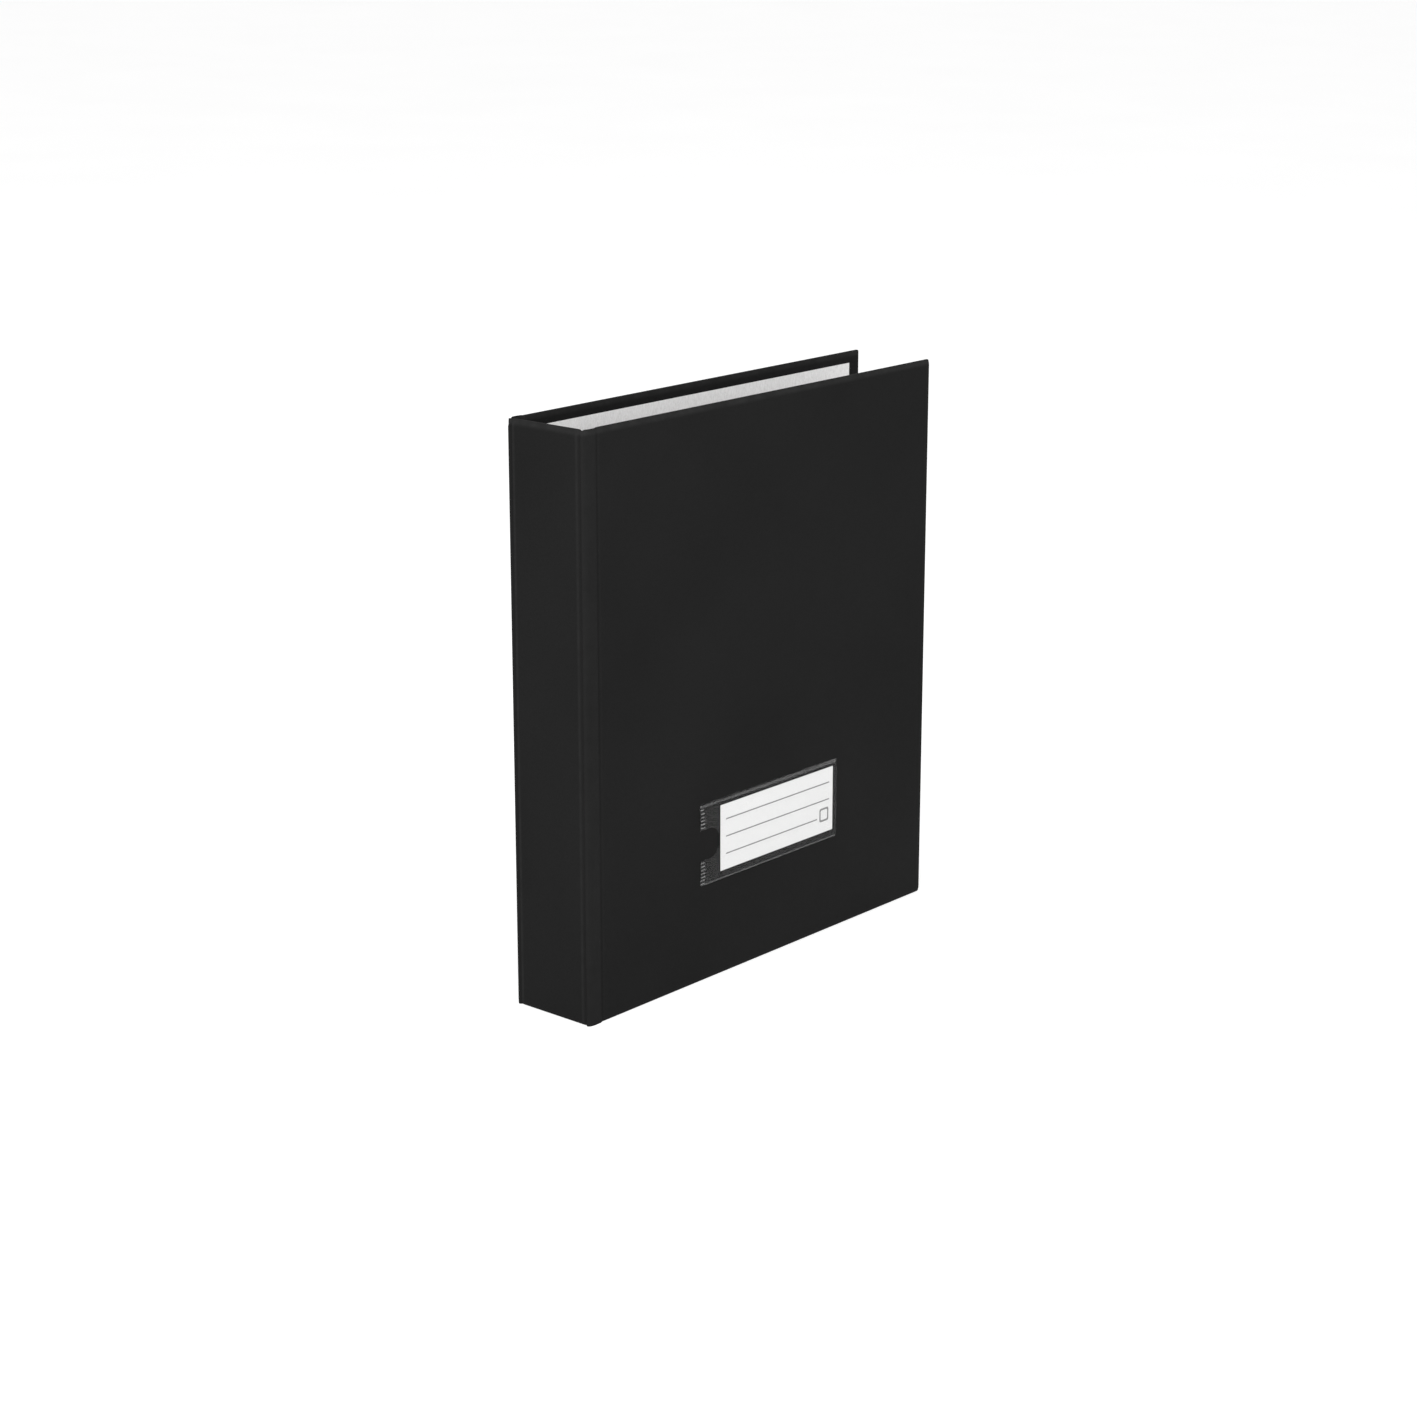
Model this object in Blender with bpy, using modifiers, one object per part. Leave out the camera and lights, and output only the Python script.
"""A4 ring binder with a four-ring D mechanism, standing upright with its covers closed.

The origin is at the centre of the footprint. +Z runs up the spine, the spine is at -X, the front
cover at -Y and the back cover, which carries the rings, at +Y. Lengths are in metres.
"""

import math

import bmesh
import bpy
from mathutils import Vector

# ---- Driving dimensions: the case -------------------------------------------------------------
HEIGHT = 0.318  # top edge to bottom edge
DEPTH = 0.286  # spine's outer face to the covers' free edges
WIDTH = 0.054  # front cover's outer face to the back cover's
BOARD = 0.0018  # greyboard in the spine and in each cover
COVERING = 0.0003  # black sheet glued round the boards
LINING = 0.0002  # grey paper pasted inside
GAP = 0.0001  # glue line left open between two layers
TURN_IN = 0.015  # covering folded in over the boards' edges
LINING_INSET = 0.0065  # black border left above and below the lining
LINING_EDGE_INSET = 0.009  # black border left along a free edge
JOINT = 0.0104  # flexible joint, from the corner to the cover board
SPINE_MARGIN = 0.003  # covering with no board behind it, along each side of the spine
EDGE_ROUND = 0.0005

# ---- Driving dimensions: the label on the front cover --------------------------------------------
POCKET_LOW = (0.0877, 0.055)  # from the spine's outer face, and up from the bottom
POCKET_HIGH = (0.2054, 0.1014)
POCKET_FILM = 0.00025
POCKET_BULGE = 0.0008  # film's outer face over the cover
POCKET_WELD = 0.003  # welded margin above, below and at the closed end
NOTCH_RADIUS = 0.0086  # thumb notch in the pocket's open end
NOTCH_REACH = 0.0159
CARD_LOW = (0.1045, 0.0598)
CARD_HIGH = (0.2015, 0.0973)
CARD = 0.00025

# ---- Driving dimensions: the ring mechanism ------------------------------------------------------
RING_PITCH = 0.080
RING_COUNT = 4
RING_WIRE = 0.0032  # diameter
RING_TOP = 0.036  # wire's centre line over the lining
RING_FOOT = 0.0075  # wire's foot, to each side of the middle
RING_BEND = 0.003  # bend at the foot of a curved half
RING_LEAN = 0.004  # straight stretch of a curved half, after that bend
RING_CORNER = 0.005  # corner at the top of a straight half
RING_SLOT_END = 0.0135  # housing's slots, from the middle, so that the halves can swing out
MOUTH = 0.0020  # where the two halves meet, towards the free edge
MOUTH_GAP = 0.0003
FOOT_RISE = 0.0008  # a foot's upright stretch over the pivots' height
SPIGOT = 0.0022  # diameter of the foot riveted into the bar
SPIGOT_COLLAR = 0.0001  # spigot left bare over the bar
SPIGOT_STEP = 0.00002
MECHANISM_X = -0.105  # middle of the mechanism
HOUSING_LENGTH = 0.276
HOUSING_HALF = 0.012  # side wall's middle plane from the middle
HOUSING_CROWN = 0.0074  # crown's middle plane over the lining
HOUSING_SHEET = 0.0008
HOUSING_SHOULDER = 0.0034  # radius between a side wall and the crown
CROWN_ARCH = 0.0004  # crown's middle over the tops of the shoulders
CROWN_FLAT = 0.004  # crown's flat middle, from its centre line
BAR_PIVOT = 0.0108  # each bar's outer edge, from the middle
PIVOT_RISE = 0.0032  # every pivot's height over the lining
BAR_REACH = 0.0106  # pivot to the bar's inner edge
BAR_SHEET = 0.0010
BAR_LENGTH = 0.262
BAR_DIP = math.radians(6)  # closed bars slope down to the middle
POST_Z = 0.080  # posts, above and below mid height
POST_SHOULDER = 0.0036
POST_NECK = 0.0028
POST_BORE = 0.0020
POST_RIM = 0.0038
POST_STAKE = 0.0008  # staked rim's top over the crown
POST_PLAY = 0.0002  # between the crown and the post, over it and under it
RIVET_SHANK = 0.0018
RIVET_HEAD = 0.0045
RIVET_DOME = 0.0010
DOME_SHAPE = ((1, 0), (0.92, 0.5), (0.70, 0.8), (0.35, 0.95), (0, 1))  # across, and down
TRIGGER_Z = 0.135  # trigger pins, above and below mid height
TRIGGER_HALF_WIDTH = 0.007
TONGUE_HALF_WIDTH = 0.003  # where the trigger runs under the bars
TONGUE_REACH = 0.0100  # from its pin
PIN_RADIUS = 0.0008
CLEARANCE = 0.0003  # round what turns or slides

# ---- What follows from them -------------------------------------------------------------------
SPINE_X = -DEPTH / 2
EDGE_X = DEPTH / 2
MID_Z = HEIGHT / 2
WRAP = 2 * COVERING + 2 * GAP + BOARD  # a board with its covering and turn-in
PANEL = WRAP + GAP + LINING
FOLD_SHEET = COVERING + GAP + LINING  # covering and lining glued to each other
FOLD_X = SPINE_X + FOLD_SHEET / 2  # fold line at each corner of the spine
FOLD_Y = WIDTH / 2 - FOLD_SHEET / 2
FOLD_CLEAR = 0.00045  # fold line to the edge of the sheet on each side of it
COVER_X = SPINE_X + JOINT  # fold line along the cover board
LINED_Y = WIDTH / 2 - PANEL  # inner face of the back cover's lining
CROWN_UNDER = HOUSING_CROWN - HOUSING_SHEET / 2
CROWN_OVER = HOUSING_CROWN + HOUSING_SHEET / 2

BLACK = (0.018, 0.018, 0.018, 1)
GREY_PAPER = (0.60, 0.59, 0.58, 1)
GREYBOARD = (0.33, 0.30, 0.26, 1)
WHITE_CARD = (0.85, 0.85, 0.84, 1)
CLEAR_FILM = (0.75, 0.77, 0.78, 0.35)
NICKEL = (0.66, 0.65, 0.62, 1)


# ---- Tools ----------------------------------------------------------------------------------------
def clear_scene():
    for obj in list(bpy.data.objects):
        bpy.data.objects.remove(obj, do_unlink=True)


def collection(name):
    made = bpy.data.collections.new(name)
    bpy.context.scene.collection.children.link(made)
    return made


def material(name, colour, roughness, metallic=0.0):
    made = bpy.data.materials.new(name)
    made.use_nodes = True
    shader = made.node_tree.nodes["Principled BSDF"]
    shader.inputs["Base Color"].default_value = colour
    shader.inputs["Roughness"].default_value = roughness
    shader.inputs["Metallic"].default_value = metallic
    shader.inputs["Alpha"].default_value = colour[3]
    return made


def place(obj, body, at, into=None):
    """Links obj, parents it to its body's empty and puts its origin at a point of the frame."""
    (into or PARTS).objects.link(obj)
    obj.parent = body
    obj.location = Vector(at) - (body.matrix_world.translation if body else Vector())
    bpy.context.view_layer.update()
    return obj


def pivot(name, at, parent=None):
    """An empty on a joint's axis, which carries the pieces that turn or slide on that joint."""
    return place(bpy.data.objects.new(name, None), parent, at)


def mesh_object(name, shape):
    mesh = bpy.data.meshes.new(name)
    shape.to_mesh(mesh)
    shape.free()
    return bpy.data.objects.new(name, mesh)


def block(name, corner, opposite, body, finish=None, round_edges=0.0, into=None):
    """A box between any two opposite corners in the frame, with its origin at its middle."""
    low = Vector(map(min, corner, opposite))
    high = Vector(map(max, corner, opposite))
    shape = bmesh.new()
    bmesh.ops.create_cube(shape, size=1)
    bmesh.ops.scale(shape, vec=high - low, verts=shape.verts)
    obj = place(mesh_object(name, shape), body, (low + high) / 2, into)
    if finish:
        obj.data.materials.append(finish)
    if round_edges:
        bevel = obj.modifiers.new("Round edges", "BEVEL")
        bevel.width = round_edges
        bevel.segments = 2
    return obj


def rod(name, at, radius, length, body, finish=None, along="Z", sides=20, into=None):
    """A cylinder centred on a point of the frame."""
    shape = bmesh.new()
    bmesh.ops.create_cone(
        shape, cap_ends=True, segments=sides, radius1=radius, radius2=radius, depth=length
    )
    obj = place(mesh_object(name, shape), body, at, into)
    obj.rotation_euler = {
        "X": (0, math.pi / 2, 0),
        "Y": (math.pi / 2, 0, 0),
        "Z": (0, 0, 0),
    }[along]
    if finish:
        obj.data.materials.append(finish)
        smooth(obj)
    return obj


def smooth(obj):
    obj.data.shade_smooth()
    obj.data.set_sharp_from_angle(angle=math.radians(40))


def cut(target, cutter):
    """Takes a helper's shape away from a piece."""
    cutter.hide_render = True
    cutter.display_type = "WIRE"
    taken = target.modifiers.new(cutter.name, "BOOLEAN")
    taken.operation = "DIFFERENCE"
    taken.solver = "EXACT"
    taken.object = cutter


def cut_block(target, corner, opposite, body):
    cut(target, block(target.name + "_cut", corner, opposite, body, into=CUTTERS))


def cut_rod(target, at, radius, length, body, along="Y", sides=20):
    cutter = rod(target.name + "_bore", at, radius, length, body, None, along, sides, CUTTERS)
    cut(target, cutter)


def turned(name, profile, at, body, finish, steps=24):
    """A body of revolution about an axis that rises from the back cover, from (radius, rise)."""
    shape = bmesh.new()
    ends = [shape.verts.new((radius, 0, rise)) for radius, rise in profile]
    for first, second in zip(ends, ends[1:]):
        shape.edges.new((first, second))
    if profile[0][0] > 0:
        shape.edges.new((ends[-1], ends[0]))
    obj = place(mesh_object(name, shape), body, at)
    obj.rotation_euler = (math.pi / 2, 0, 0)
    screw = obj.modifiers.new("Turn", "SCREW")
    screw.steps = screw.render_steps = steps
    screw.use_merge_vertices = True
    screw.merge_threshold = 0.00001
    obj.data.materials.append(finish)
    return obj


def flat_outline(name, loops, thickness, at, rotation, body, finish):
    """Outlines in a plane, the first one solid and the others holes in it, given a thickness."""
    curve = bpy.data.curves.new(name, "CURVE")
    curve.dimensions = "2D"
    curve.fill_mode = "BOTH"
    curve.extrude = thickness / 2
    for loop in loops:
        spline = curve.splines.new("POLY")
        spline.points.add(len(loop) - 1)
        spline.use_cyclic_u = True
        for point, (x, y) in zip(spline.points, loop):
            point.co = (x, y, 0, 1)
    obj = place(bpy.data.objects.new(name, curve), body, at)
    obj.rotation_euler = rotation
    obj.data.materials.append(finish)
    return obj


def as_mesh(curve_object):
    """Turns a curve object into a mesh object in the same place, ready to be cut."""
    name, parent = curve_object.name, curve_object.parent
    bpy.context.view_layer.update()
    evaluated = curve_object.evaluated_get(bpy.context.evaluated_depsgraph_get())
    mesh = bpy.data.meshes.new_from_object(evaluated)
    welded = bmesh.new()
    welded.from_mesh(mesh)
    bmesh.ops.remove_doubles(welded, verts=welded.verts, dist=0.000001)
    welded.to_mesh(mesh)
    welded.free()
    where = curve_object.matrix_world.copy()
    bpy.data.objects.remove(curve_object)
    obj = bpy.data.objects.new(name, mesh)
    PARTS.objects.link(obj)
    obj.parent = parent
    obj.matrix_world = where
    return obj


def arc(centre, radius, start, end, steps):
    """Points on a circle, from one angle in degrees to another, both ends included."""
    angles = (math.radians(start + (end - start) * i / steps) for i in range(steps + 1))
    return [
        (centre[0] + radius * math.cos(a), centre[1] + radius * math.sin(a)) for a in angles
    ]


def on_mechanism(across, rise, along=0.0):
    """A point across, over and along the mechanism, from the lining under its middle."""
    return Vector((MECHANISM_X + across, LINED_Y - rise, MID_Z + along))


# ---- The case ---------------------------------------------------------------------------------
def spine():
    """The root: the spine's board in its covering, whose bare margins reach the corner folds."""
    inner = SPINE_X + WRAP
    board_half = WIDTH / 2 - SPINE_MARGIN
    sheet_half = FOLD_Y - FOLD_CLEAR
    bed = SPINE_X + COVERING
    cover = block(
        "spine_covering",
        (SPINE_X, -sheet_half, 0),
        (inner, sheet_half, HEIGHT),
        ROOT,
        COVERING_LOOK,
    )
    cut_block(
        cover,
        (bed, -board_half - GAP, COVERING),
        (inner - COVERING, board_half + GAP, HEIGHT - COVERING),
        ROOT,
    )
    cut_block(
        cover,
        (inner - 2 * COVERING, -board_half - GAP, TURN_IN),
        (inner + BOARD, board_half + GAP, HEIGHT - TURN_IN),
        ROOT,
    )
    for side in (-1, 1):
        cut_block(
            cover,
            (SPINE_X + FOLD_SHEET, side * board_half, -BOARD),
            (inner + BOARD, side * WIDTH, HEIGHT + BOARD),
            ROOT,
        )
    block(
        "spine_board",
        (bed + GAP, -board_half, COVERING + GAP),
        (bed + GAP + BOARD, board_half, HEIGHT - COVERING - GAP),
        ROOT,
        BOARD_LOOK,
    )
    block(
        "spine_lining",
        (inner + GAP, -board_half + GAP, LINING_INSET),
        (inner + GAP + LINING, board_half - GAP, HEIGHT - LINING_INSET),
        ROOT,
        LINING_LOOK,
    )


def hinge_strip(name, side, body):
    """The bare covering and lining between the corner fold and the cover board."""
    block(
        name,
        (FOLD_X + FOLD_CLEAR, side * WIDTH / 2, 0),
        (COVER_X - 2 * GAP, side * (WIDTH / 2 - FOLD_SHEET), HEIGHT),
        body,
        COVERING_LOOK,
    )


def cover_panel(name, side, body):
    """A cover: board, covering turned in on three edges, and lining. Returns the three."""

    def depth(inwards):
        """The Y value at this depth in from the cover's outer face."""
        return side * (WIDTH / 2 - inwards)

    start = COVER_X + 3 * GAP
    cover = block(
        name + "_covering",
        (start, depth(0), 0),
        (EDGE_X, depth(WRAP), HEIGHT),
        body,
        COVERING_LOOK,
        EDGE_ROUND,
    )
    cut_block(
        cover,
        (start - JOINT, depth(COVERING), COVERING),
        (EDGE_X - COVERING, depth(WRAP - COVERING), HEIGHT - COVERING),
        body,
    )
    cut_block(
        cover,
        (start - JOINT, depth(WRAP - 2 * COVERING), TURN_IN),
        (EDGE_X - TURN_IN, depth(WRAP + BOARD), HEIGHT - TURN_IN),
        body,
    )
    bed = COVERING + GAP
    board = block(
        name + "_board",
        (start + GAP, depth(bed), bed),
        (EDGE_X - bed, depth(bed + BOARD), HEIGHT - bed),
        body,
        BOARD_LOOK,
    )
    lining = block(
        name + "_lining",
        (start + GAP, depth(WRAP + GAP), LINING_INSET),
        (EDGE_X - LINING_EDGE_INSET, depth(PANEL), HEIGHT - LINING_INSET),
        body,
        LINING_LOOK,
    )
    return cover, board, lining


def label_pocket(body):
    """A clear film welded to the front cover on three sides, open to the spine for the card."""
    face = -WIDTH / 2
    x_low, z_low = SPINE_X + POCKET_LOW[0], POCKET_LOW[1]
    x_high, z_high = SPINE_X + POCKET_HIGH[0], POCKET_HIGH[1]
    film = block(
        "label_pocket",
        (x_low, face - POCKET_BULGE - GAP, z_low),
        (x_high, face - GAP, z_high),
        body,
        FILM_LOOK,
    )
    cut_block(
        film,
        (x_low - BOARD, face - POCKET_BULGE - GAP + POCKET_FILM, z_low + POCKET_WELD),
        (x_high - POCKET_WELD, face + BOARD, z_high - POCKET_WELD),
        body,
    )
    middle = (z_low + z_high) / 2
    end = x_low + NOTCH_REACH - NOTCH_RADIUS
    cut_block(
        film,
        (x_low - BOARD, face - WRAP, middle - NOTCH_RADIUS),
        (end, face + WRAP, middle + NOTCH_RADIUS),
        body,
    )
    cut_rod(film, (end, face, middle), NOTCH_RADIUS, 2 * WRAP, body, sides=32)


def label_card(body):
    middle = -WIDTH / 2 - GAP - (POCKET_BULGE - POCKET_FILM) / 2
    block(
        "label_card",
        (SPINE_X + CARD_LOW[0], middle - CARD / 2, CARD_LOW[1]),
        (SPINE_X + CARD_HIGH[0], middle + CARD / 2, CARD_HIGH[1]),
        body,
        CARD_LOOK,
    )


# ---- The ring mechanism ------------------------------------------------------------------------
def ring_levels():
    """Each ring's place along the mechanism, from its middle."""
    first = -RING_PITCH * (RING_COUNT - 1) / 2
    return [first + RING_PITCH * i for i in range(RING_COUNT)]


def housing_section():
    """Half of the housing's section as (across, rise), from its curled lip to the crown."""
    lip = HOUSING_SHEET / 2 + CLEARANCE
    bend = HOUSING_SHOULDER
    return [
        (BAR_PIVOT - 2 * CLEARANCE, lip),
        (HOUSING_HALF, lip),
        *arc((HOUSING_HALF - bend, HOUSING_CROWN - CROWN_ARCH - bend), bend, 0, 80, 5),
        (CROWN_FLAT, HOUSING_CROWN),
        (0, HOUSING_CROWN),
    ]


def housing(body):
    """An arched channel of sprung sheet steel, slotted for the rings and open at both ends."""
    half = housing_section()
    section = half + [(-across, rise) for across, rise in reversed(half[:-1])]
    shape = bmesh.new()
    lower = [shape.verts.new((u, -v, -HOUSING_LENGTH / 2)) for u, v in section]
    edges = [shape.edges.new(pair) for pair in zip(lower, lower[1:])]
    grown = bmesh.ops.extrude_edge_only(shape, edges=edges)["geom"]
    upper = [item for item in grown if isinstance(item, bmesh.types.BMVert)]
    bmesh.ops.translate(shape, vec=(0, 0, HOUSING_LENGTH), verts=upper)
    bmesh.ops.recalc_face_normals(shape, faces=shape.faces)
    channel = place(mesh_object("mechanism_housing", shape), body, on_mechanism(0, 0))
    channel.data.materials.append(NICKEL_LOOK)
    shell = channel.modifiers.new("Sheet", "SOLIDIFY")
    shell.thickness = HOUSING_SHEET
    shell.offset = 0
    shell.use_even_offset = True

    slot = RING_WIRE / 2 + CLEARANCE
    for level in ring_levels():
        for side in (-1, 1):
            cut_block(
                channel,
                on_mechanism(side * (RING_FOOT - slot), CROWN_OVER + BOARD, level - slot),
                on_mechanism(side * RING_SLOT_END, PIVOT_RISE + BAR_SHEET, level + slot),
                body,
            )
    for side in (-1, 1):
        post = on_mechanism(0, HOUSING_CROWN, side * POST_Z)
        cut_rod(channel, post, POST_NECK + CLEARANCE, 4 * HOUSING_SHEET, body)
        half_mouth = TRIGGER_HALF_WIDTH + 2 * CLEARANCE
        cut_block(
            channel,
            on_mechanism(-half_mouth, CROWN_OVER + BOARD, side * (BAR_LENGTH / 2 + CLEARANCE)),
            on_mechanism(half_mouth, PIVOT_RISE, side * HOUSING_LENGTH),
            body,
        )
        pin = on_mechanism(0, PIVOT_RISE, side * TRIGGER_Z)
        cut_rod(channel, pin, PIN_RADIUS + CLEARANCE, 4 * HOUSING_HALF, body, "X", 12)
    return channel


def ring_bar(name, side, body):
    """One of the two sprung bars that carry the ring halves, hinged along its outer edge."""
    shape = bmesh.new()
    bmesh.ops.create_cube(shape, size=1)
    outer = -CLEARANCE
    bmesh.ops.scale(shape, vec=(BAR_REACH - outer, BAR_SHEET, BAR_LENGTH), verts=shape.verts)
    middle = -side * (BAR_REACH + outer) / 2
    bmesh.ops.translate(shape, vec=(middle, 0, 0), verts=shape.verts)
    axis = on_mechanism(side * BAR_PIVOT, PIVOT_RISE)
    bar = place(mesh_object(name, shape), body, axis)
    bar.rotation_euler = (0, 0, -side * BAR_DIP)
    bar.data.materials.append(NICKEL_LOOK)
    bpy.context.view_layer.update()
    notch = POST_SHOULDER + 2 * CLEARANCE
    holes = [(RING_FOOT, level, SPIGOT / 2 + CLEARANCE) for level in ring_levels()]
    holes += [(0, end * POST_Z, notch) for end in (-1, 1)]
    for across, level, radius in holes:
        at = on_mechanism(side * across, PIVOT_RISE, level)
        cut_rod(bar, at, radius, 8 * BAR_SHEET, body, sides=16)


def curved_half():
    """Centre line of a curved half as (across, rise): foot, lean outwards, and the big arc."""
    foot_top = PIVOT_RISE + FOOT_RISE
    bend = arc((-RING_FOOT - RING_BEND, foot_top), RING_BEND, 0, 45, 3)
    lean = RING_LEAN * math.sqrt(0.5)
    start = (bend[-1][0] - lean, bend[-1][1] + lean)
    radius = (RING_TOP - start[1]) / (1 + math.sqrt(0.5))
    centre = (start[0] + radius * math.sqrt(0.5), RING_TOP - radius)
    return bend + arc(centre, radius, 225, 90, 14) + [(MOUTH, RING_TOP)]


def straight_half():
    """Centre line of a straight half as (across, rise): the upright leg and its top corner."""
    corner = arc(
        (RING_FOOT - RING_CORNER, RING_TOP - RING_CORNER), RING_CORNER, 0, 90, 6
    )
    return [(RING_FOOT, PIVOT_RISE + FOOT_RISE), *corner, (MOUTH + MOUTH_GAP, RING_TOP)]


def ring_half(name, line, level, body):
    """A bent wire whose thinner foot goes through its bar, where it is riveted over."""
    foot = line[0][0]
    bar_top = PIVOT_RISE + BAR_SHEET / 2 - CLEARANCE / 2
    spigot = SPIGOT / RING_WIRE
    step = bar_top + SPIGOT_COLLAR
    points = [
        (foot, bar_top - BAR_SHEET, spigot),
        (foot, step, spigot),
        (foot, step + SPIGOT_STEP, 1.0),
        *((across, rise, 1.0) for across, rise in line),
    ]
    curve = bpy.data.curves.new(name, "CURVE")
    curve.dimensions = "3D"
    curve.bevel_depth = RING_WIRE / 2
    curve.bevel_resolution = 3
    curve.use_fill_caps = True
    spline = curve.splines.new("POLY")
    spline.points.add(len(points) - 1)
    for point, (across, rise, size) in zip(spline.points, points):
        point.co = (across, -rise, 0, 1)
        point.radius = size
    wire = place(bpy.data.objects.new(name, curve), body, on_mechanism(0, 0, level))
    wire.data.materials.append(NICKEL_LOOK)


def mounting_post(name, end, body):
    """A tube staked into the housing's crown, which stands on the lining over the rivet."""
    profile = [
        (POST_BORE, CROWN_OVER + POST_STAKE),
        (POST_RIM, CROWN_OVER + POST_STAKE),
        (POST_RIM, CROWN_OVER + POST_PLAY),
        (POST_NECK, CROWN_OVER + POST_PLAY),
        (POST_NECK, CROWN_UNDER - POST_PLAY),
        (POST_SHOULDER, CROWN_UNDER - POST_PLAY),
        (POST_SHOULDER, GAP),
        (POST_BORE, GAP),
    ]
    turned(name, profile, on_mechanism(0, 0, end * POST_Z), body, NICKEL_LOOK)


def rivet(name, end, body):
    """A rivet from outside: domed head behind the back cover, shank up inside the post."""
    under_head = -PANEL - GAP
    profile = [
        (0, CROWN_OVER),
        (RIVET_SHANK, CROWN_OVER),
        (RIVET_SHANK, under_head),
        *((RIVET_HEAD * across, under_head - RIVET_DOME * down) for across, down in DOME_SHAPE),
    ]
    turned(name, profile, on_mechanism(0, 0, end * POST_Z), body, NICKEL_LOOK)


def trigger(name, end, body):
    """An L-shaped lever on a cross pin: its arm lies under both bars and its tab stands up."""
    arm = TRIGGER_Z - BAR_LENGTH / 2
    outline = [
        (-TONGUE_REACH, -0.0020),
        (-TONGUE_REACH, -0.0028),
        (-0.0015, -0.0026),
        *arc((0, 0), 0.0022, 270, 330, 3),
        (0.0062, 0.0026),
        *arc((0.0078, 0.0084), 0.0007, -20, 160, 5),
        (0.0050, 0.0044),
        *arc((0, 0), 0.0022, 50, 190, 6),
        (-arm + 2 * CLEARANCE, -0.0020),
    ]
    bore = arc((0, 0), PIN_RADIUS + CLEARANCE * 2 / 3, 0, 330, 11)
    at = on_mechanism(0, PIVOT_RISE, end * TRIGGER_Z)
    # The outline's first axis runs out along the mechanism, its second rises off the cover.
    turn = (math.pi, -end * math.pi / 2, 0)
    width = 2 * TRIGGER_HALF_WIDTH
    lever = as_mesh(flat_outline(name, [outline, bore], width, at, turn, body, NICKEL_LOOK))
    root, tip = end * (TRIGGER_Z - arm + 2 * CLEARANCE), end * (TRIGGER_Z - 2 * TONGUE_REACH)
    for side in (-1, 1):
        cut_block(
            lever,
            on_mechanism(side * TONGUE_HALF_WIDTH, PIVOT_RISE, root),
            on_mechanism(side * width, -PANEL, tip),
            body,
        )


def back_cover_holes(pieces, body):
    """Lets the rivets through the back cover's covering, board and lining."""
    for piece in pieces:
        for end in (-1, 1):
            at = on_mechanism(0, -PANEL / 2, end * POST_Z)
            cut_rod(piece, at, RIVET_SHANK + CLEARANCE, 4 * PANEL, body, sides=16)


def mechanism(cover_body):
    housing(cover_body)
    for end, where in ((1, "upper"), (-1, "lower")):
        mounting_post(f"{where}_mounting_post", end, cover_body)
        rivet(f"{where}_rivet", end, cover_body)
        pin = on_mechanism(0, PIVOT_RISE, end * TRIGGER_Z)
        half_pin = HOUSING_HALF + HOUSING_SHEET
        rod(f"{where}_trigger_pin", pin, PIN_RADIUS, 2 * half_pin, cover_body, NICKEL_LOOK, "X", 12)
        lever = pivot(f"{where}_trigger_pivot", pin, cover_body)
        trigger(f"{where}_trigger", end, lever)
    halves = ((-1, "spine_side", curved_half()), (1, "edge_side", straight_half()))
    for side, where, line in halves:
        axis = on_mechanism(side * BAR_PIVOT, PIVOT_RISE)
        bars = pivot(f"{where}_bar_pivot", axis, cover_body)
        ring_bar(f"{where}_ring_bar", side, bars)
        for number, level in enumerate(reversed(ring_levels()), 1):
            ring_half(f"{where}_ring_{number}", line, level, bars)


def case():
    spine()
    bodies = {}
    for name, side in (("front", -1), ("back", 1)):
        fold = pivot(f"{name}_fold_pivot", (FOLD_X, side * FOLD_Y, MID_Z), ROOT)
        hinge_strip(f"{name}_hinge_strip", side, fold)
        hinge = pivot(f"{name}_cover_pivot", (COVER_X, side * WIDTH / 2, MID_Z), fold)
        bodies[name] = hinge, cover_panel(f"{name}_cover", side, hinge)
    return bodies


clear_scene()
PARTS = collection("ring_binder")
CUTTERS = collection("ring_binder_cutters")
COVERING_LOOK = material("black_covering", BLACK, 0.45)
LINING_LOOK = material("grey_lining", GREY_PAPER, 0.85)
BOARD_LOOK = material("greyboard", GREYBOARD, 0.9)
CARD_LOOK = material("label_card", WHITE_CARD, 0.7)
FILM_LOOK = material("clear_film", CLEAR_FILM, 0.15)
NICKEL_LOOK = material("nickel_plate", NICKEL, 0.22, 1.0)
ROOT = pivot("spine_origin", (0, 0, 0))

COVERS = case()
label_pocket(COVERS["front"][0])
SLIDE = pivot("label_slide", (SPINE_X + CARD_LOW[0], -WIDTH / 2, CARD_LOW[1]), COVERS["front"][0])
label_card(SLIDE)
mechanism(COVERS["back"][0])
back_cover_holes(COVERS["back"][1], COVERS["back"][0])
